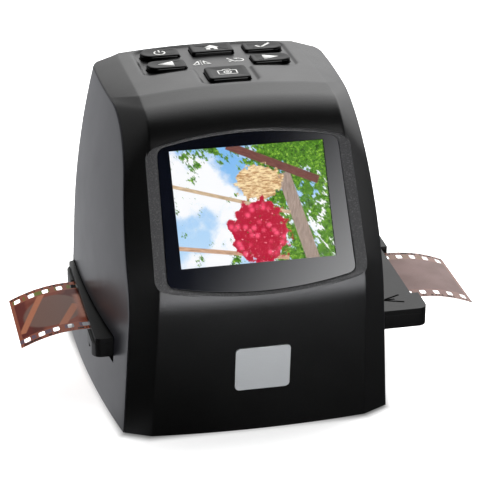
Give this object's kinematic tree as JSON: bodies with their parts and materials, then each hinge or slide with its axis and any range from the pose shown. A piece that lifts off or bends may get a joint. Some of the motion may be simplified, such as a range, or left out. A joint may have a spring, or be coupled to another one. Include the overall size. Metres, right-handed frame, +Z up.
{
  "type": "film negative scanner",
  "caption": "Table-top film negative scanner: tapered black body with a sloping screen, push buttons on its top deck and a through slot in which a film adapter slides.",
  "frame": {"origin": "on the floor under the middle of the body, at the centre of the middle rubber foot", "axes": "+X to the right as seen from the front, along the film; +Y to the back; +Z up"},
  "size_m": [0.152, 0.0909, 0.1033],
  "materials": {
    "shell": "satin black",
    "base": "fine texture",
    "feet": "matte",
    "plate": "satin, blank",
    "window": "smoked and glossy",
    "display": "lit picture",
    "button": "high gloss",
    "frame_plastic": "fine texture",
    "board": "solder mask",
    "chip": "moulded",
    "steel": "plated",
    "socket": "moulded",
    "white_plastic": "smooth white",
    "led_plastic": "clear",
    "barrel": "smooth",
    "optics": "coated",
    "ribbon": "smooth",
    "tray": "satin dark grey",
    "film": "translucent orange-brown"
  },
  "bodies": {
    "housing": {"front_cover": "shell", "left_side_panel": "shell", "right_side_panel": "shell", "rear_cover": "shell", "base_cover": "base", "rubber_feet": "feet", "nameplate": "plate", "screen_lens": "window", "lcd_panel": "display", "lcd_frame": "frame_plastic", "button_board": "board", "button_switches": "steel", "main_board": "board", "processor": "chip", "usb_port": "steel", "video_jack": "socket", "card_slot": "steel", "adapter_guide": "frame_plastic", "light_box": "white_plastic", "diffuser": "white_plastic", "led_board": "white_plastic", "leds": "led_plastic", "camera_bracket": "frame_plastic", "lens_barrel": "barrel", "lens_glass": "optics", "sensor_board": "board", "image_sensor": "chip", "lcd_ribbon": "ribbon", "sensor_ribbon": "ribbon", "case_screws": "steel", "board_screws": "steel", "short_screws": "steel"},
    "power_key": {"power_button": "button"},
    "home_key": {"home_button": "button"},
    "confirm_key": {"confirm_button": "button"},
    "left_key": {"left_button": "button"},
    "right_key": {"right_button": "button"},
    "capture_key": {"capture_button": "button"},
    "film_adapter": {"adapter_base": "tray", "adapter_lid": "tray", "hinge_pin": "steel"},
    "film": {"film_strip": "film"}
  },
  "joints": [
    {"name": "power_press", "type": "slide", "parent": "housing", "child": "power_key", "axis": [0, 0, -1], "range_m": [0, 0.0005], "stiffness_N_per_m": 400, "springref_m": -0.001},
    {"name": "home_press", "type": "slide", "parent": "housing", "child": "home_key", "axis": [0, 0, -1], "range_m": [0, 0.0005], "stiffness_N_per_m": 400, "springref_m": -0.001},
    {"name": "confirm_press", "type": "slide", "parent": "housing", "child": "confirm_key", "axis": [0, 0, -1], "range_m": [0, 0.0005], "stiffness_N_per_m": 400, "springref_m": -0.001},
    {"name": "left_press", "type": "slide", "parent": "housing", "child": "left_key", "axis": [0, 0, -1], "range_m": [0, 0.0005], "stiffness_N_per_m": 400, "springref_m": -0.001},
    {"name": "right_press", "type": "slide", "parent": "housing", "child": "right_key", "axis": [0, 0, -1], "range_m": [0, 0.0005], "stiffness_N_per_m": 400, "springref_m": -0.001},
    {"name": "capture_press", "type": "slide", "parent": "housing", "child": "capture_key", "axis": [0, 0, -1], "range_m": [0, 0.0005], "stiffness_N_per_m": 400, "springref_m": -0.001},
    {"name": "adapter_slide", "type": "slide", "parent": "housing", "child": "film_adapter", "axis": [1, 0, 0], "range_m": [-0.09, 0.08]},
    {"name": "film_slide", "type": "slide", "parent": "film_adapter", "child": "film", "axis": [1, 0, 0], "range_m": [-0.057, 0.057], "deforming": ["film_strip"]}
  ]
}
